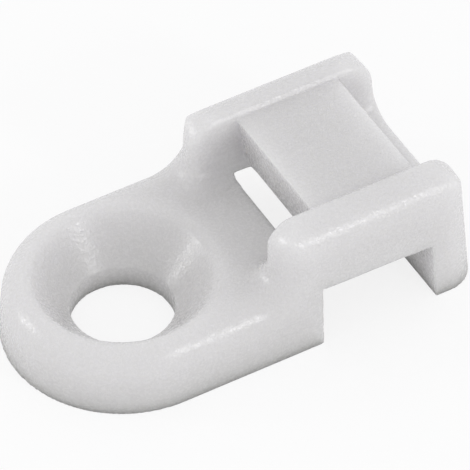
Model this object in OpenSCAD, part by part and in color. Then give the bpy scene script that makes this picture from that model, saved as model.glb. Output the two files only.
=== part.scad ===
// Screw-fixed saddle mount for a cable tie: one moulded body.
// Origin on the screw hole's axis in the base plane, +X from the screw pad to the saddle, +Z up. Millimetres.

/* [Body] */
// width over the side walls at the base plane
body_w = 10; // [9.6:0.1:12]
// screw hole axis to the foot of the end wall
end_x = 13.8; // [13.4:0.1:16]
// base plane to the crest of the cheeks
crest_z = 5.9; // [5.7:0.05:6.2]
// outward lean of the outer walls, degrees from vertical
wall_draft = 4.4; // [3:0.1:5]
// rounding of every outer edge: round the pad, up the cheeks, along the crest and down the end wall
edge_r = 1.42; // [1.3:0.02:1.5]
// rounding between the end wall and the crest
end_top_r = 1.5; // [1.4:0.05:1.6]
// rounding of the end wall's upright edges, at the base
end_corner_r = 1.35; // [1.2:0.05:1.5]

/* [Screw pad] */
// base plane to the top of the pad
pad_h = 3.0; // [2.9:0.05:3.1]
// screw clearance hole
hole_d = 4.25; // [3.6:0.05:4.6]
// straight part of the hole above the base plane
hole_land = 1.05; // [0.8:0.05:1.4]
// included angle of the countersink
sink_angle = 83; // [80:1:86]
// rounding of the countersink's rim
rim_r = 0.35; // [0.2:0.05:0.4]

/* [Saddle] */
// screw hole axis to the cheeks' faces over the pad
cheek_x = 4.85; // [4.75:0.05:5]
// rounding between those faces and the crest
cheek_top_r = 1.35; // [1.2:0.05:1.5]
// rounding of the cheeks' inner upright edges
cheek_inner_r = 0.3; // [0.2:0.05:0.4]
// distance between the cheeks' inner faces
trough_w = 5.9; // [5.6:0.1:6.0]
// depth of the trough floor below the pad's top
trough_dip = 0.05; // [0.03:0.01:0.1]
// concave rounding along the trough's corners and round the foot of the cheeks
cove_r = 1.1; // [0.8:0.05:1.2]

/* [Deck] */
// upper edge of the deck on the pad side
deck_x0 = 6.97; // [6.9:0.01:7.1]
// upper edge of the deck on the end side
deck_x1 = 11.74; // [11.7:0.01:12]
// base plane to the deck's top
deck_z = 5.6; // [5.3:0.05:5.6]
// how far the pad-side face of the deck leans back toward its lower edge
deck_lean = 0.42; // [0.2:0.01:0.45]
// slope of the seat's sides, from the deck's level up to the crest
seat_slope = 55; // [45:1:70]

/* [Tie channel] */
// wall of the channel on the pad side, at the base
channel_x0 = 6.45; // [6.2:0.01:6.5]
// wall of the channel on the end side, at the base
channel_x1 = 11.7; // [11.5:0.01:11.75]
// lean of both walls toward the roof, degrees
channel_draft = 2; // [1:0.5:3]
// clear height of the channel at its mouths, pad side
channel_h = 2.85; // [2.75:0.05:2.9]
// fall of the roof toward the end wall, degrees
roof_fall = 1.5; // [0:0.5:2]
// radius of the roof's arch
roof_r = 36; // [32:1:40]

/* [Hidden] */
$fn = 64;
e = 0.01;
t = tan(wall_draft);
hw = body_w / 2;
sec = sqrt(1 + t * t);
top = crest_z + 2;
foot_x = cheek_x - cove_r;
trough_y = trough_w / 2;
// centre of the outer rounding under the crest
ball_z = crest_z - edge_r;
ball_y = hw - t * ball_z - edge_r * sec;
ball_x = end_x - t * ball_z - edge_r * sec;

function wall_y(z) = hw - t * z;
function end_x_at(z) = end_x - t * z;

// extrudes a YZ outline along X from x0 to x1
module along_x(x0, x1) {
    translate([x0, 0, 0])
        rotate([90, 0, 90])
            linear_extrude(x1 - x0)
                children();
}

// extrudes an XZ outline along Y from y0 to y1
module along_y(y0, y1) {
    translate([0, y1, 0])
        rotate([90, 0, 0])
            linear_extrude(y1 - y0)
                children();
}

// half outline of a leaning wall with a rounded top edge: wall foot at w, top at h
module leaning_half(w, h) {
    zc = h - edge_r;
    yc = w - t * zc - edge_r * sec;
    polygon([
        [0, 0],
        [w, 0],
        [yc + edge_r / sec, zc + edge_r * t / sec],
        [yc, zc],
        [yc, h],
        [0, h]
    ]);
    translate([yc, zc])
        circle(edge_r);
}

// YZ outline between two leaning walls
module leaning_outline(w, h) {
    leaning_half(w, h);
    mirror([1, 0])
        leaning_half(w, h);
}

// screw pad: straight flanks and a round end with the same edge all the way
module pad() {
    along_x(0, foot_x)
        leaning_outline(hw, pad_h);
    intersection() {
        rotate_extrude()
            leaning_half(hw, pad_h);
        translate([-hw - 1, -hw - 1, -1])
            cube([hw + 1 + e, body_w + 2, top]);
    }
}

// long outline of the saddle: foot, face over the pad, crest, end wall
module saddle_long() {
    // a hair over the crest, so that the crest's own face is the one that shows
    h = crest_z + 0.005;
    zc = h - end_top_r;
    xc = end_x - t * zc - end_top_r * sec;
    xf = cheek_x + cheek_top_r;
    zf = h - cheek_top_r;
    polygon([
        [foot_x, -1],
        [end_x + t, -1],
        [xc + end_top_r / sec, zc + end_top_r * t / sec],
        [xc, zc],
        [xc, h],
        [xf, h],
        [xf, zf],
        [cheek_x, zf],
        [cheek_x, 1],
        [foot_x, 1]
    ]);
    translate([xc, zc])
        circle(end_top_r);
    translate([xf, zf])
        circle(cheek_top_r);
    difference() {
        translate([foot_x, 0.5])
            square([cove_r + 0.1, pad_h + cove_r - 0.5]);
        translate([foot_x, pad_h + cove_r])
            circle(cove_r);
    }
}

// rounds an upright edge of the end wall with a cone of the walls' own lean
module end_corner_cut() {
    c = end_corner_r;
    difference() {
        translate([end_x - c, hw - c, -1])
            cube([c + 1, c + 1, top + 1]);
        translate([end_x - c, hw - c, -1])
            cylinder(h = top + 2, r1 = c + t, r2 = c - t * (top + 1));
    }
}

// rounds the outer edge of a cheek over the pad: round the foot, upright, and over the top with a ball
module cheek_outer_cut() {
    r = edge_r;
    zf = pad_h + cove_r;
    translate([foot_x, wall_y(pad_h + 0.45 * cove_r), zf])
        rotate([-90, 0, 0])
            rotate_extrude(angle = 90)
                difference() {
                    translate([cove_r - 0.4, -r])
                        square([r + 0.4, r + 0.4]);
                    translate([cove_r + r, -r])
                        circle(r);
                }
    translate([cheek_x + r, ball_y, ball_z])
        rotate([wall_draft, 0, 0])
            translate([0, 0, zf - ball_z - 0.2])
                linear_extrude(top)
                    difference() {
                        translate([-r - 0.5, 0])
                            square([r + 0.5, r + 0.5]);
                        circle(r);
                    }
}

// clears the ground for the rounded inner corner of a cheek
module cheek_inner_cut() {
    c = cheek_inner_r;
    translate([cheek_x, trough_y, pad_h])
        linear_extrude(top)
            difference() {
                translate([-cove_r - 0.2, -cove_r])
                    square([cove_r + 0.2 + c, cove_r + c]);
                translate([c, c])
                    circle(c);
            }
}

// concave foot round the inner corner of a cheek
module cheek_inner_foot() {
    c = cheek_inner_r;
    translate([cheek_x + c, trough_y + c, pad_h - trough_dip - 0.2])
        rotate([0, 0, 180])
            rotate_extrude(angle = 90)
                difference() {
                    translate([c / 2, 0])
                        square([c / 2 + cove_r, cove_r + 0.2]);
                    translate([c + cove_r, cove_r + 0.2])
                        circle(cove_r);
                }
}

// outer form of the saddle before the trough is taken out
module saddle_block() {
    difference() {
        intersection() {
            along_x(foot_x - 1, end_x + 1)
                leaning_outline(hw, crest_z);
            along_y(-hw - 1, hw + 1)
                saddle_long();
        }
        for (m = [0, 1])
            mirror([0, m, 0]) {
                end_corner_cut();
                cheek_outer_cut();
                cheek_inner_cut();
            }
    }
}

// YZ outline of the trough: upright sides rounded into a flat floor
module trough_outline() {
    zf = pad_h - trough_dip;
    translate([-trough_y + cove_r, zf])
        square([trough_w - 2 * cove_r, top]);
    translate([-trough_y, zf + cove_r])
        square([trough_w, top]);
    for (s = [-1, 1])
        translate([s * (trough_y - cove_r), zf + cove_r])
            circle(cove_r);
}

// YZ outline of the seat: level with the deck, sides sloping up to the crest
module seat_outline() {
    rise = crest_z + 1 - deck_z;
    run = rise / tan(seat_slope);
    polygon([
        [-trough_y, deck_z],
        [trough_y, deck_z],
        [trough_y + run, deck_z + rise],
        [-trough_y - run, deck_z + rise]
    ]);
}

// deck bridging the cheeks over the tie channel
module deck() {
    along_y(-trough_y - 0.2, trough_y + 0.2)
        polygon([
            [deck_x0 + deck_lean, pad_h - 0.6],
            [deck_x0 + deck_lean, pad_h],
            [deck_x0, deck_z],
            [deck_x1, deck_z],
            [deck_x1, pad_h - 0.6]
        ]);
}

// way for the tie: open to the base, through both side walls, arched roof
module tie_channel() {
    lean = tan(channel_draft) * top;
    intersection() {
        along_y(-hw - 1, hw + 1)
            polygon([
                [channel_x0 - tan(channel_draft), -1],
                [channel_x1 + tan(channel_draft), -1],
                [channel_x1 - lean, top],
                [channel_x0 + lean, top]
            ]);
        translate([channel_x0, 0, channel_h])
            rotate([0, roof_fall, 0])
                along_x(-2, 8)
                    translate([0, -sqrt(roof_r * roof_r - pow(wall_y(channel_h), 2))])
                        circle(roof_r, $fn = 240);
    }
}

// screw hole with its countersink and a rounded rim against the pad's outer rounding
module screw_hole() {
    r = hole_d / 2;
    a = sink_angle / 2;
    ez = pad_h - edge_r;
    ey = hw - t * ez - edge_r * sec;
    // the rim's centre lies rim_r inside both the cone and, all but 0.02, the outer rounding
    px = r + rim_r * cos(a);
    pz = hole_land - rim_r * sin(a);
    bx = px - ey;
    bz = pz - ez;
    half = bx * sin(a) + bz * cos(a);
    reach = edge_r - rim_r + 0.02;
    s = -half + sqrt(half * half - bx * bx - bz * bz + reach * reach);
    cx = px + s * sin(a);
    cz = pz + s * cos(a);
    ux = (cx - ey) / reach;
    uz = (cz - ez) / reach;
    rotate_extrude()
        difference() {
            polygon([
                [0, -1],
                [r, -1],
                [r, hole_land],
                [cx - rim_r * cos(a), cz + rim_r * sin(a)],
                [cx, cz],
                [cx + 1.2 * ux, cz + 1.2 * uz],
                [0, cz + 1.2 * uz]
            ]);
            translate([cx, cz])
                circle(rim_r);
        }
}

module saddle_mount() {
    color([0.86, 0.86, 0.88])
        difference() {
            union() {
                difference() {
                    union() {
                        pad();
                        saddle_block();
                    }
                    along_x(0, end_x + 2)
                        trough_outline();
                }
                deck();
                cheek_inner_foot();
                mirror([0, 1, 0])
                    cheek_inner_foot();
            }
            along_x(cheek_x - 1, end_x + 2)
                seat_outline();
            tie_channel();
            screw_hole();
        }
}

saddle_mount();
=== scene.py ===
"""Looks of a screw-fixed saddle mount for a cable tie: one moulded body of natural nylon on a pale floor."""

import logging
import math
from dataclasses import dataclass, field
from enum import Enum

import bpy
import numpy as np
from mathutils import Matrix, Vector


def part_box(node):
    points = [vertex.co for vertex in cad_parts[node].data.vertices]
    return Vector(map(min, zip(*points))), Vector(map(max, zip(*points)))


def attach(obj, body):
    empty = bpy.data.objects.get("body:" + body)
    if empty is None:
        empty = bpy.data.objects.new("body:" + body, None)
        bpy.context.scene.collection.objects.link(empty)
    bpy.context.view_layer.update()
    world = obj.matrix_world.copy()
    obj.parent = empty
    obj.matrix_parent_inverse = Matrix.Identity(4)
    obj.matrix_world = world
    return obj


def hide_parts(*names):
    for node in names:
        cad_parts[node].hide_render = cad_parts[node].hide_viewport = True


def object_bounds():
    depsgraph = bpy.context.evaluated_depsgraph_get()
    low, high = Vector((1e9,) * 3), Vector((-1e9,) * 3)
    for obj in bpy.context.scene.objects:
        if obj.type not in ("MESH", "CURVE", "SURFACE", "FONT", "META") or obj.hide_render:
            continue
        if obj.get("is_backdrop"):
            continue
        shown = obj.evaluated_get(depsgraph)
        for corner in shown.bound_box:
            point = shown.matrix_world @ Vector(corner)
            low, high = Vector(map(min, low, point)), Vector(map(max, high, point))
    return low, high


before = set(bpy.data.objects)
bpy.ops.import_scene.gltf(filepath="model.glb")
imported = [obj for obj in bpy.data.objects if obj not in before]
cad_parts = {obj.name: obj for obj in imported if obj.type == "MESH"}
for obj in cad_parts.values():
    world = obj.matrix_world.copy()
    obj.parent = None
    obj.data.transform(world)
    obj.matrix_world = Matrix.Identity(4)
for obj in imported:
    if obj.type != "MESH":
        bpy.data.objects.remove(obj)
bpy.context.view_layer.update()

LOG = logging.getLogger("saddle_mount")
MM = 0.001

Colour = tuple[float, float, float]
Triple = tuple[float, float, float]
Span = tuple[float, float]

WHITE = (1.0, 1.0, 1.0, 1.0)
# sockets that share a name with another one, so they are called by number
MIX_FACTOR = 0
MIX_FIRST_COLOUR = 6
MIX_SECOND_COLOUR = 7
MIX_COLOUR_OUT = 2
FIRST_SHADER = 1
SECOND_SHADER = 2


class LightRole(Enum):
    """What each lamp of the studio is for."""

    KEY = "key"
    RIM = "rim"


def socket(node: bpy.types.Node, name: str, value: object) -> None:
    """Sets one input socket of a shader node by its name."""
    node.inputs[name].default_value = value


def link(
    tree: bpy.types.NodeTree,
    source: bpy.types.Node,
    output: str,
    target: bpy.types.Node,
    name: str,
) -> None:
    """Joins a named output socket to a named input socket."""
    tree.links.new(source.outputs[output], target.inputs[name])


@dataclass(frozen=True)
class NaturalNylon:
    """Finish of undyed nylon out of a spark-eroded mould: milky, satin, with a fine grain that glitters.

    Attributes:
        pale: Colour where the moulding is thin or clean.
        milky: Colour of the slow cloudiness in the thick parts.
        cloud_per_m: Clouds in one metre.
        cloud_detail: Finer layers in the clouds.
        grain_per_m: Grains of the mould's texture in one metre.
        grain_detail: Finer layers in the grain.
        grain_share: Strength of each finer layer beside the one before it.
        grain_depth: Height of a grain in metres.
        smooth: Roughness of the polished grains.
        rough: Roughness of the matt ones.
        polish_span: Grain values between which the roughness goes from smooth to rough.
        bend: Refractive index of nylon.
        depth: How far light travels in the nylon, in metres.
        depth_tint: Share of that depth for red, green and blue.
        milkiness: Share of the light that goes through the body before it comes out.
    """

    pale: Colour = (0.690, 0.682, 0.680)
    milky: Colour = (0.655, 0.647, 0.646)
    cloud_per_m: float = 420.0
    cloud_detail: float = 3.0
    grain_per_m: float = 7400.0
    grain_detail: float = 2.0
    grain_share: float = 0.6
    grain_depth: float = 0.000019
    smooth: float = 0.18
    rough: float = 0.34
    polish_span: Span = (0.35, 0.65)
    bend: float = 1.53
    depth: float = 0.0030
    depth_tint: Colour = (1.0, 1.0, 1.05)
    milkiness: float = 0.9

    def make(self) -> bpy.types.Material:
        """Builds the material on Object coordinates.

        Returns:
            The material, with the grain in its bump and its roughness and the clouds in its colour.
        """
        mat = bpy.data.materials.new("natural_nylon")
        mat.use_nodes = True
        tree = mat.node_tree
        tree.nodes.clear()
        out = tree.nodes.new("ShaderNodeOutputMaterial")
        skin = tree.nodes.new("ShaderNodeBsdfPrincipled")
        place = tree.nodes.new("ShaderNodeTexCoord")

        clouds = tree.nodes.new("ShaderNodeTexNoise")
        socket(clouds, "Scale", self.cloud_per_m)
        socket(clouds, "Detail", self.cloud_detail)
        link(tree, place, "Object", clouds, "Vector")
        tint = tree.nodes.new("ShaderNodeMix")
        tint.data_type = "RGBA"
        tint.inputs[MIX_FIRST_COLOUR].default_value = (*self.milky, 1.0)
        tint.inputs[MIX_SECOND_COLOUR].default_value = (*self.pale, 1.0)
        tree.links.new(clouds.outputs["Fac"], tint.inputs[MIX_FACTOR])
        tree.links.new(tint.outputs[MIX_COLOUR_OUT], skin.inputs["Base Color"])

        grain = tree.nodes.new("ShaderNodeTexNoise")
        socket(grain, "Scale", self.grain_per_m)
        socket(grain, "Detail", self.grain_detail)
        socket(grain, "Roughness", self.grain_share)
        link(tree, place, "Object", grain, "Vector")
        bump = tree.nodes.new("ShaderNodeBump")
        socket(bump, "Strength", 1.0)
        socket(bump, "Distance", self.grain_depth)
        link(tree, grain, "Fac", bump, "Height")
        link(tree, bump, "Normal", skin, "Normal")

        polish = tree.nodes.new("ShaderNodeMapRange")
        socket(polish, "From Min", self.polish_span[0])
        socket(polish, "From Max", self.polish_span[1])
        socket(polish, "To Min", self.smooth)
        socket(polish, "To Max", self.rough)
        link(tree, grain, "Fac", polish, "Value")
        link(tree, polish, "Result", skin, "Roughness")

        socket(skin, "IOR", self.bend)
        socket(skin, "Subsurface Weight", self.milkiness)
        socket(skin, "Subsurface Radius", self.depth_tint)
        socket(skin, "Subsurface Scale", self.depth)
        link(tree, skin, "BSDF", out, "Surface")
        return mat


@dataclass(frozen=True)
class PaleFloor:
    """Finish of the plain floor: pale, matt, and lifted to white for the eye alone, with the shadow kept.

    Attributes:
        bounce: Colour of the matt surface.
        lift: Share of plain white that the camera's rays meet in place of the matt surface.
    """

    bounce: Colour = (0.95, 0.95, 0.95)
    lift: float = 0.8

    def make(self) -> bpy.types.Material:
        """Builds the material: lift x white + (1 - lift) x matt for the camera, matt alone for other rays.

        Returns:
            The material.
        """
        mat = bpy.data.materials.new("pale_floor")
        mat.use_nodes = True
        tree = mat.node_tree
        tree.nodes.clear()
        out = tree.nodes.new("ShaderNodeOutputMaterial")
        matt = tree.nodes.new("ShaderNodeBsdfDiffuse")
        socket(matt, "Color", (*self.bounce, 1.0))
        white = tree.nodes.new("ShaderNodeEmission")
        socket(white, "Color", WHITE)
        ray = tree.nodes.new("ShaderNodeLightPath")
        share = tree.nodes.new("ShaderNodeMath")
        share.operation = "MULTIPLY"
        share.inputs[1].default_value = self.lift
        tree.links.new(ray.outputs["Is Camera Ray"], share.inputs[0])
        pick = tree.nodes.new("ShaderNodeMixShader")
        link(tree, share, "Value", pick, "Fac")
        tree.links.new(matt.outputs["BSDF"], pick.inputs[FIRST_SHADER])
        tree.links.new(white.outputs["Emission"], pick.inputs[SECOND_SHADER])
        link(tree, pick, "Shader", out, "Surface")
        return mat


def rounded_max(
    a: np.ndarray,
    b: np.ndarray,
    r: float | np.ndarray,
    cosine: float | np.ndarray = 0.0,
) -> np.ndarray:
    """Meets two forms in a convex edge of radius r, with c the cosine between the directions they face.

    With u = a + r and v = b + r, each no less than c times the other, it is
    sqrt((u^2 + v^2 - 2 u v c) / (1 - c^2)) - r where u or v is over 0, and max(a, b) deeper in.

    Args:
        a: Distance to the first form's skin, below 0 inside.
        b: The same for the second form.
        r: Radius of the edge between them.
        cosine: 0 where the forms meet at a right angle.

    Returns:
        Distance to the skin of what both forms share.
    """
    u, v = a + r, b + r
    m, n = np.maximum(u, cosine * v), np.maximum(v, cosine * u)
    square = np.maximum(m, 0.0) ** 2 + np.maximum(n, 0.0) ** 2 - 2.0 * np.maximum(m * n, 0.0) * cosine
    corner = np.sqrt(np.maximum(square, 0.0) / (1.0 - np.square(cosine))) - r
    return np.where(np.maximum(u, v) > 0.0, corner, np.maximum(a, b))


def rounded_min(a: np.ndarray, b: np.ndarray, r: float | np.ndarray) -> np.ndarray:
    """Joins two forms with a concave fillet of radius r: the convex edge of the two spaces outside them.

    Args:
        a: Distance to the first form's skin, below 0 inside.
        b: The same for the second form.
        r: Radius of the fillet.

    Returns:
        Distance to the skin of both forms together.
    """
    return -rounded_max(-a, -b, r)


def fade(value: np.ndarray, start: float, end: float) -> np.ndarray:
    """Rises from 0 at start to 1 at end without a corner: 3 s^2 - 2 s^3 of the clipped share s."""
    s = np.clip((value - start) / (end - start), 0.0, 1.0)
    return s * s * (3.0 - 2.0 * s)


@dataclass(frozen=True)
class Walls:
    """Leaning outer walls: two flanks, a round end about the hole's axis and a flat end wall.

    Attributes:
        half_width: From the middle to a flank at the base, in millimetres.
        end: From the hole's axis to the end wall at the base, in millimetres.
        lean: Inward lean of every outer wall, in degrees from upright.
        edge: Rounding between the flanks and what lies on top, in millimetres.
    """

    half_width: float = 5.0
    end: float = 13.8
    lean: float = 4.4
    edge: float = 1.42

    @property
    def slope(self) -> float:
        """Run of a wall inward for each millimetre that it rises: tan lean."""
        return math.tan(math.radians(self.lean))

    def flank(self, x: np.ndarray, y: np.ndarray, z: np.ndarray) -> np.ndarray:
        """Distance to the flanks: (rho - half width + z tan lean) cos lean.

        Over the round end, where x is below 0, rho is measured from the hole's axis, and elsewhere from the
        middle.

        Args:
            x: Places along the body.
            y: Places across it.
            z: Heights over the base.

        Returns:
            The distances, below 0 inside.
        """
        rho = np.hypot(np.minimum(x, 0.0), y)
        return (rho - self.half_width + self.slope * z) / math.hypot(1.0, self.slope)

    def end_wall(self, x: np.ndarray, z: np.ndarray) -> np.ndarray:
        """Distance to the end wall, (x - end + z tan lean) cos lean, below 0 inside."""
        return (x - self.end + self.slope * z) / math.hypot(1.0, self.slope)


@dataclass(frozen=True)
class Cheeks:
    """The two cheeks over the pad, with the cove round their feet and the seat's slopes.

    Lengths are millimetres, and the slope is degrees.

    Attributes:
        floor: Height of the pad's top.
        dip: Depth of the trough's floor under it.
        dip_span: Places along the body between which the floor goes down.
        crest: Height of the cheeks.
        face: From the hole's axis to the cheeks' faces over the pad.
        face_top: Rounding between those faces and the crest.
        inner: From the middle to the cheeks' inner faces.
        inner_edge: Rounding of the inner upright edges.
        seat: Height where the inner faces begin to slope outward.
        slope: Angle of that slope over the level.
        cove: Hollow rounding round the feet.
    """

    floor: float = 3.0
    dip: float = 0.05
    dip_span: Span = (3.0, 5.0)
    crest: float = 5.9
    face: float = 4.85
    face_top: float = 1.35
    inner: float = 2.95
    inner_edge: float = 0.3
    seat: float = 5.6
    slope: float = 55.0
    cove: float = 1.1

    def profile(self, x: np.ndarray, z: np.ndarray) -> np.ndarray:
        """Outline from the side: pad's top filleted into the cheek's face, and that face rounded on top."""
        cheek = rounded_max(self.face - x, z - self.crest, self.face_top)
        return rounded_min(z - self.floor, cheek, self.cove)

    def inside(self, x: np.ndarray, y: np.ndarray, z: np.ndarray) -> np.ndarray:
        """Trough between the cheeks: its floor filleted into upright faces that slope outward over the seat.

        Args:
            x: Places along the body.
            y: Places across it.
            z: Heights over the base.

        Returns:
            Distances to the cheeks' inner skin, below 0 in their material.
        """
        angle = math.radians(self.slope)
        upright = self.inner - np.abs(y)
        sloped = (upright + (z - self.seat) / math.tan(angle)) * math.sin(angle)
        block = rounded_max(self.face - x, np.maximum(upright, sloped), self.inner_edge)
        floor = z - self.floor + self.dip * fade(x, *self.dip_span)
        return rounded_min(floor, block, self.cove)


@dataclass(frozen=True)
class Deck:
    """Bridge between the cheeks that the bundle rests on, with a face that leans back toward the base.

    Lengths are millimetres.

    Attributes:
        top: Height of its upper face.
        front: From the hole's axis to its upper edge on the pad's side.
        back: The same on the end wall's side.
        lean: How far the front face goes back over the height below.
        rise: That height.
        half_width: From the middle to its ends, which lie in the cheeks.
        under: Height of its lower face, which lies in the tie's way.
        edge: Rounding of its upper edges.
    """

    top: float = 5.6
    front: float = 6.97
    back: float = 11.74
    lean: float = 0.42
    rise: float = 2.6
    half_width: float = 3.15
    under: float = 2.4
    edge: float = 0.08

    def field(self, x: np.ndarray, y: np.ndarray, z: np.ndarray) -> np.ndarray:
        """Block between two faces and under a top; the front face lies at front + lean (top - z) / rise.

        Args:
            x: Places along the body.
            y: Places across it.
            z: Heights over the base.

        Returns:
            The distances, below 0 inside.
        """
        slant = self.lean / self.rise
        front = (self.front + slant * (self.top - z) - x) / math.hypot(1.0, slant)
        long = rounded_max(np.maximum(front, x - self.back), z - self.top, self.edge)
        return np.maximum(long, np.maximum(np.abs(y) - self.half_width, self.under - z))


@dataclass(frozen=True)
class TieChannel:
    """Way for the tie, open to the base and through both flanks, under an arched roof.

    Lengths are millimetres, and the draft and the fall are degrees.

    Attributes:
        front: From the hole's axis to the wall on the pad's side, at the base.
        back: The same for the wall on the end's side.
        draft: Lean of both walls toward the roof.
        height: Height of the roof at its mouths, over the front wall.
        fall: Fall of the roof toward the end wall.
        arch: Radius of the roof's arch.
        mouth: From the middle to the mouths at the roof's height.
    """

    front: float = 6.45
    back: float = 11.7
    draft: float = 2.0
    height: float = 2.85
    fall: float = 1.5
    arch: float = 36.0
    mouth: float = 4.781

    def field(self, x: np.ndarray, y: np.ndarray, z: np.ndarray) -> np.ndarray:
        """The way's own space, between drafted walls and under a roof that arches across and falls along.

        The roof is height + sqrt(arch^2 - y^2) - sqrt(arch^2 - mouth^2) - (x - front) tan fall.

        Args:
            x: Places along the body.
            y: Places across it.
            z: Heights over the base.

        Returns:
            The distances, below 0 in the open way.
        """
        t = math.tan(math.radians(self.draft))
        bow = np.sqrt(self.arch**2 - y**2) - math.sqrt(self.arch**2 - self.mouth**2)
        roof = self.height + bow - (x - self.front) * math.tan(math.radians(self.fall))
        sides = np.maximum(self.front + t * z - x, x - self.back + t * z)
        return np.maximum(sides, z - roof)


@dataclass(frozen=True)
class ScrewHole:
    """Screw's way through the pad, with a sink and a rounded rim.

    Lengths are millimetres, and the sink is degrees.

    Attributes:
        radius: Radius of the straight part.
        land: Height of the straight part over the base.
        sink: Included angle of the sink.
        rim: Rounding of the sink's rim.
        foot: Rounding of the hole's edge at the base.
        rim_span: Heights between which the one rounding grows into the other.
    """

    radius: float = 2.125
    land: float = 1.05
    sink: float = 83.0
    rim: float = 0.27
    foot: float = 0.06
    rim_span: Span = (0.8, 1.8)

    def field(self, x: np.ndarray, y: np.ndarray, z: np.ndarray) -> np.ndarray:
        """Material round the hole: rho over radius and over radius + (z - land) tan(sink / 2).

        Args:
            x: Places along the body.
            y: Places across it.
            z: Heights over the base.

        Returns:
            The distances, below 0 in the material and over 0 in the open hole.
        """
        rho = np.hypot(x, y)
        half = math.radians(self.sink / 2.0)
        cone = (self.radius + (z - self.land) * math.tan(half) - rho) * math.cos(half)
        return np.maximum(self.radius - rho, cone)

    def rim_radius(self, z: np.ndarray) -> np.ndarray:
        """Small at the base, growing to the rim's radius up the sink."""
        return self.foot + (self.rim - self.foot) * fade(z, *self.rim_span)


@dataclass
class SkinNet:
    """Turns a field, below 0 inside, into a closed skin of four-sided faces.

    Attributes:
        pitch: Side of a grid cell in millimetres.
        settle: Steps that move the skin's points onto the field's zero.
        stride: Furthest that one such step moves a point along an axis, in cells.
        least_slope: Least squared slope that a step divides by.
        tiny: Least length that a direction is divided by.
        low: Lowest corner of the grid in millimetres.
        values: The field at the grid's points.
    """

    pitch: float = 0.1
    settle: int = 3
    stride: float = 0.4
    least_slope: float = 0.25
    tiny: float = 1e-9
    low: np.ndarray = field(default_factory=lambda: np.zeros(3))
    values: np.ndarray = field(default_factory=lambda: np.zeros((2, 2, 2)))

    def sample(self, form: "MouldedBody", low: Triple, high: Triple) -> None:
        """Fills the grid with the form's field.

        Args:
            form: What gives the field.
            low: Lowest corner of the grid in millimetres.
            high: Highest corner of the grid in millimetres.
        """
        self.low = np.array(low)
        axes = [np.arange(a, b + self.pitch, self.pitch) for a, b in zip(low, high)]
        x, y, z = np.meshgrid(*axes, indexing="ij", sparse=True)
        self.values = np.ascontiguousarray(np.broadcast_to(form.field(x, y, z), tuple(map(len, axes))))

    def look_up(self, points: np.ndarray) -> tuple[np.ndarray, np.ndarray]:
        """Reads the field and its slope between grid points, by weights (1 - f) and f along each axis.

        Args:
            points: Places in grid steps, one row each.

        Returns:
            The field's values and its slopes, in millimetres and without unit.
        """
        base = np.clip(np.floor(points).astype(int), 0, np.array(self.values.shape) - 2)
        f = points - base
        value = np.zeros(len(points))
        slope = np.zeros_like(points)
        for corner in np.ndindex(2, 2, 2):
            c = np.array(corner)
            sample = self.values[tuple((base + c).T)]
            weight = np.where(c, f, 1.0 - f)
            value += sample * weight.prod(axis=1)
            for axis in range(3):
                others = np.delete(weight, axis, axis=1).prod(axis=1)
                slope[:, axis] += sample * others * (1.0 if corner[axis] else -1.0)
        return value, slope / self.pitch

    def skin(self) -> tuple[np.ndarray, np.ndarray, np.ndarray]:
        """Puts one point in each cell that the zero crosses, at the mean of its edges' crossings.

        The points then move down the slope onto the zero, and are joined to faces.

        Returns:
            Points in millimetres, outward directions at them, and faces as rows of four indices.
        """
        v = self.values
        cells = tuple(n - 1 for n in v.shape)
        count = np.zeros(cells)
        total = np.zeros((*cells, 3))
        crossings = []
        for axis in range(3):
            w = np.moveaxis(v, axis, 0)
            crossed = (w[:-1] < 0.0) != (w[1:] < 0.0)
            share = np.where(crossed, w[:-1] / np.where(crossed, w[:-1] - w[1:], 1.0), 0.0)
            crossings.append((crossed, w[:-1] < 0.0))
            place = np.stack(np.meshgrid(*map(np.arange, crossed.shape), indexing="ij"), -1).astype(float)
            place[..., 0] += share
            order = [axis, *[a for a in range(3) if a != axis]]
            m, n = crossed.shape[1] - 1, crossed.shape[2] - 1
            for j, k in ((0, 0), (0, 1), (1, 0), (1, 1)):
                cut = (slice(None), slice(j, j + m), slice(k, k + n))
                part = np.moveaxis(count, axis, 0)
                part += crossed[cut]
                whole = np.moveaxis(total, axis, 0)
                for i, target in enumerate(order):
                    whole[..., target] += np.where(crossed[cut], place[cut][..., i], 0.0)
        used = count > 0
        index = np.full(cells, -1)
        index[used] = np.arange(int(used.sum()))
        points = total[used] / count[used][:, None]
        for _ in range(self.settle):
            value, slope = self.look_up(points)
            length = np.maximum((slope**2).sum(axis=1), self.least_slope)
            step = -(value / length)[:, None] * slope / self.pitch
            points = points + np.clip(step, -self.stride, self.stride)
        outward = self.look_up(points)[1]
        outward /= np.maximum(np.linalg.norm(outward, axis=1), self.tiny)[:, None]
        faces = self.faces(index, crossings)
        return self.low + points * self.pitch, outward, faces

    @staticmethod
    def faces(index: np.ndarray, crossings: list[tuple[np.ndarray, np.ndarray]]) -> np.ndarray:
        """Joins the four cells round each crossed grid edge, turned so that the face looks outward.

        Args:
            index: Number of the point in each cell.
            crossings: For each axis, which edges are crossed and which start inside.

        Returns:
            Faces as rows of four point numbers.
        """
        made = []
        for axis, (crossed, inside) in enumerate(crossings):
            cell = np.moveaxis(index, axis, 0)
            inner = (slice(None), slice(1, -1), slice(1, -1))
            i, j, k = np.nonzero(crossed[inner])
            quad = np.stack(
                [cell[i, j, k], cell[i, j + 1, k], cell[i, j + 1, k + 1], cell[i, j, k + 1]],
                axis=1,
            )
            # moving the middle axis to the front leaves the other two in left-handed order
            keep = inside[inner][i, j, k] != (axis == 1)
            made.append(np.where(keep[:, None], quad, quad[:, ::-1]))
        return np.concatenate(made)


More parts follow.
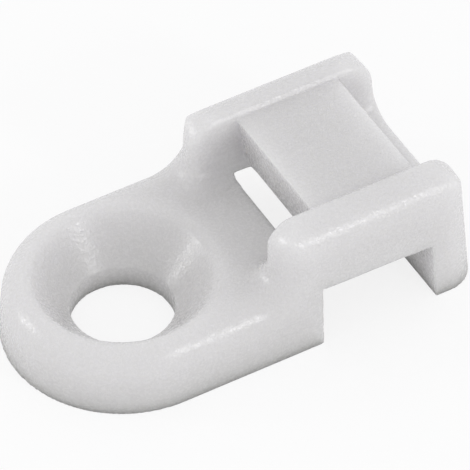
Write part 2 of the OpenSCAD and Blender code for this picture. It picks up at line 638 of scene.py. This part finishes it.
@dataclass
class MouldedBody:
    """The one-piece mount: screw pad, two cheeks, deck and tie channel, with every edge rounded as moulded.

    Lengths are millimetres.

    Attributes:
        node: Name of the solid that the skin stands for.
        slot: Material slot of the record; not used.
        walls: The leaning outer walls.
        cheeks: The cheeks and the trough between them.
        deck: The bridge between the cheeks.
        channel: The way for the tie.
        hole: The way for the screw.
        end_edge: Rounding between the end wall and the crest.
        end_corner: Rounding of the end wall's upright edges at the base; it shrinks upward with the lean.
        leg_edge: Rounding where the trough goes out through the end wall.
        leg_span: Places along the body between which that rounding sets in.
        ridge: Rounding of the cheeks' ridges.
        ridge_heights: Heights between which that rounding sets in.
        ridge_span: Places along the body between which it sets in.
        base_edge: Rounding round the base.
        fullness: 0 for ball corners at the crests' ends, 1 for crossing edges.
        margin: Room of the grid round the body.
    """

    node: str = "saddle_mount"
    slot: str = "nylon"
    walls: Walls = Walls()
    cheeks: Cheeks = Cheeks()
    deck: Deck = Deck()
    channel: TieChannel = TieChannel()
    hole: ScrewHole = ScrewHole()
    end_edge: float = 1.5
    end_corner: float = 1.35
    leg_edge: float = 0.28
    leg_span: Span = (12.0, 13.0)
    ridge: float = 0.14
    ridge_heights: Span = (5.2, 5.6)
    ridge_span: Span = (5.2, 5.8)
    base_edge: float = 0.03
    fullness: float = 0.85
    margin: float = 0.35

    def outside(self, x: np.ndarray, y: np.ndarray, z: np.ndarray) -> np.ndarray:
        """Outer form: side outline, flanks and end wall met in rounded edges.

        Where three edges meet, the corner lies between a ball and the three edges' own crossing, by the share
        of fullness.

        Args:
            x: Places along the body in millimetres.
            y: Places across it.
            z: Heights over the base.

        Returns:
            The distances, below 0 inside.
        """
        edge, side = self.walls.edge, self.cheeks
        flank, end = self.walls.flank(x, y, z), self.walls.end_wall(x, z)
        top = side.profile(x, z)
        lean = math.sin(math.radians(self.walls.lean))
        low = lean * (1.0 - fade(z, side.floor, side.floor + side.cove))
        high = lean * fade(z, side.crest - side.face_top, side.crest)
        ball = rounded_max(rounded_max(flank, top, edge, low + high), end, self.end_edge)
        face = rounded_min(z - side.floor, side.face - x, side.cove)
        crest = z - side.crest
        crossing = np.maximum(rounded_max(flank, face, edge, low), top)
        crossing = np.maximum(crossing, rounded_max(flank, crest, edge, lean))
        crossing = np.maximum(crossing, rounded_max(crest, end, self.end_edge, lean))
        upright = self.end_corner - self.walls.slope * z
        crossing = np.maximum(crossing, rounded_max(flank, end, upright))
        return ball + self.fullness * (crossing - ball)

    def field(self, x: np.ndarray, y: np.ndarray, z: np.ndarray) -> np.ndarray:
        """Distance to the body's skin, below 0 inside.

        The trough is taken out of the outer form, the deck is joined, and the tie's way and the screw's hole
        are taken out.

        Args:
            x: Places along the body in millimetres.
            y: Places across it.
            z: Heights over the base.

        Returns:
            The distances, of the places' common shape.
        """
        outer = self.outside(x, y, z)
        ridge = self.ridge * fade(z, *self.ridge_heights) * fade(x, *self.ridge_span)
        leg = self.leg_edge * fade(x, *self.leg_span)
        form = rounded_max(outer, self.cheeks.inside(x, y, z), np.maximum(ridge, leg))
        form = np.minimum(form, self.deck.field(x, y, z))
        form = rounded_max(form, -z, self.base_edge)
        form = np.maximum(form, -self.channel.field(x, y, z))
        return rounded_max(form, self.hole.field(x, y, z), self.hole.rim_radius(z))

    def build(self, finish: NaturalNylon) -> bpy.types.Object:
        """Works out the skin, puts it in a mesh and dresses it.

        Args:
            finish: The moulding's material.

        Returns:
            The object that stands for the solid.
        """
        low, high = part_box(self.node)
        net = SkinNet()
        lowest = tuple(c / MM - self.margin for c in low)
        highest = tuple(c / MM + self.margin for c in high)
        net.sample(self, lowest, highest)
        points, outward, faces = net.skin()
        mesh = bpy.data.meshes.new("mount_skin")
        mesh.from_pydata((points * MM).tolist(), [], faces.tolist())
        mesh.shade_smooth()
        mesh.normals_split_custom_set_from_vertices(outward.tolist())
        mesh.materials.append(finish.make())
        skin = bpy.data.objects.new("mount_skin", mesh)
        bpy.context.scene.collection.objects.link(skin)
        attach(skin, "root")
        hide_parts(self.node)
        return skin


@dataclass(frozen=True)
class Lamp:
    """One soft square lamp, placed by the direction that it shines from.

    Attributes:
        role: What it is for.
        direction: Toward the lamp from what it lights, of any length.
        power: In watts.
        distance: From what it lights, in metres.
        side: Side of the square in metres.
    """

    role: LightRole
    direction: Triple
    power: float
    distance: float = 0.20
    side: float = 0.026

    def place(self, target: Vector) -> bpy.types.Object:
        """Hangs the lamp so that it faces the target point.

        Args:
            target: Point that the lamp faces.

        Returns:
            The lamp's object.
        """
        data = bpy.data.lights.new(f"{self.role.value}_lamp", "AREA")
        data.shape = "RECTANGLE"
        data.size = self.side
        data.size_y = self.side
        data.energy = self.power
        lamp = bpy.data.objects.new(data.name, data)
        bpy.context.scene.collection.objects.link(lamp)
        away = Vector(self.direction).normalized()
        lamp.location = target + away * self.distance
        lamp.rotation_mode = "QUATERNION"
        lamp.rotation_quaternion = away.to_track_quat("Z", "Y")
        return lamp


@dataclass
class Studio:
    """Pale floor, soft light from all round, and lamps whose glints lie along the rounded edges.

    Attributes:
        floor_side: Side of the square floor in metres.
        sky: Strength of the light from all round.
        sky_colour: Its colour.
        lamps: The lamps.
    """

    floor_side: float = 1.2
    sky: float = 0.86
    sky_colour: Colour = (0.99, 0.99, 1.0)
    lamps: list[Lamp] = field(
        default_factory=lambda: [
            Lamp(LightRole.KEY, (0.35, -0.83, 0.44), 0.046),
            Lamp(LightRole.RIM, (-0.79, 0.54, 0.31), 0.038),
        ]
    )

    def build_floor(self, level: float) -> None:
        """Lays the floor at the height that the object stands on.

        Args:
            level: That height in metres.
        """
        half = self.floor_side / 2
        mesh = bpy.data.meshes.new("floor")
        mesh.from_pydata(
            [
                (-half, -half, level),
                (half, -half, level),
                (half, half, level),
                (-half, half, level),
            ],
            [],
            [(0, 1, 2, 3)],
        )
        mesh.materials.append(PaleFloor().make())
        floor = bpy.data.objects.new("floor", mesh)
        bpy.context.scene.collection.objects.link(floor)
        floor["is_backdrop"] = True

    def build_sky(self) -> None:
        """Lights the scene evenly from all round, and shows the eye plain white where the floor ends."""
        world = bpy.data.worlds.new("studio")
        world.use_nodes = True
        tree = world.node_tree
        tree.nodes.clear()
        out = tree.nodes.new("ShaderNodeOutputWorld")
        light = tree.nodes.new("ShaderNodeBackground")
        socket(light, "Color", (*self.sky_colour, 1.0))
        socket(light, "Strength", self.sky)
        white = tree.nodes.new("ShaderNodeBackground")
        socket(white, "Color", WHITE)
        ray = tree.nodes.new("ShaderNodeLightPath")
        pick = tree.nodes.new("ShaderNodeMixShader")
        link(tree, ray, "Is Camera Ray", pick, "Fac")
        tree.links.new(light.outputs["Background"], pick.inputs[FIRST_SHADER])
        tree.links.new(white.outputs["Background"], pick.inputs[SECOND_SHADER])
        link(tree, pick, "Shader", out, "Surface")
        bpy.context.scene.world = world

    def build(self, low: Vector, high: Vector) -> None:
        """Builds floor, sky and lamps round the object's box.

        Args:
            low: Lowest corner of the object.
            high: Highest corner of the object.
        """
        self.build_floor(low.z)
        self.build_sky()
        for lamp in self.lamps:
            lamp.place((low + high) / 2)


@dataclass(frozen=True)
class Viewpoint:
    """Long-lens camera over the pad's near corner, placed round a point in the object.

    Attributes:
        azimuth: Degrees round the upright axis, 0 looking along +Y.
        elevation: Degrees above the horizon.
        aim: Point in the picture's centre, in metres.
        distance: From that point to the camera, in metres.
        lens: Focal length in millimetres on a sensor of the width below.
        sensor: Sensor width in millimetres.
        clip_span: Nearest and furthest distance that the camera takes in, in metres.
    """

    azimuth: float = -29.92
    elevation: float = 45.62
    aim: Triple = (0.005173, -0.000042, 0.002490)
    distance: float = 0.25
    lens: float = 476.3
    sensor: float = 36.0
    clip_span: Span = (0.01, 10.0)

    def build(self) -> bpy.types.Object:
        """Makes the scene's camera.

        Returns:
            The camera, level, looking at the aim point.
        """
        a = math.radians(self.azimuth)
        e = math.radians(self.elevation)
        back = Vector((math.sin(a) * math.cos(e), -math.cos(a) * math.cos(e), math.sin(e)))
        right = Vector((math.cos(a), math.sin(a), 0.0))
        up = back.cross(right)
        data = bpy.data.cameras.new("camera")
        data.lens = self.lens
        data.sensor_width = self.sensor
        data.clip_start, data.clip_end = self.clip_span
        camera = bpy.data.objects.new("camera", data)
        bpy.context.scene.collection.objects.link(camera)
        turn = Matrix((right, up, back)).transposed().to_4x4()
        camera.matrix_world = Matrix.Translation(Vector(self.aim) + back * self.distance) @ turn
        bpy.context.scene.camera = camera
        return camera


def main() -> None:
    """Builds the mount, the studio and the camera, in that order."""
    logging.basicConfig(level=logging.INFO, format="%(name)s: %(message)s")
    body = MouldedBody().build(NaturalNylon())
    LOG.info("%s: %d triangles", body.name, sum(len(f.vertices) - 2 for f in body.data.polygons))
    Studio().build(*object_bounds())
    Viewpoint().build()
    bpy.context.scene.view_settings.view_transform = "Standard"


if __name__ == "__main__":
    main()
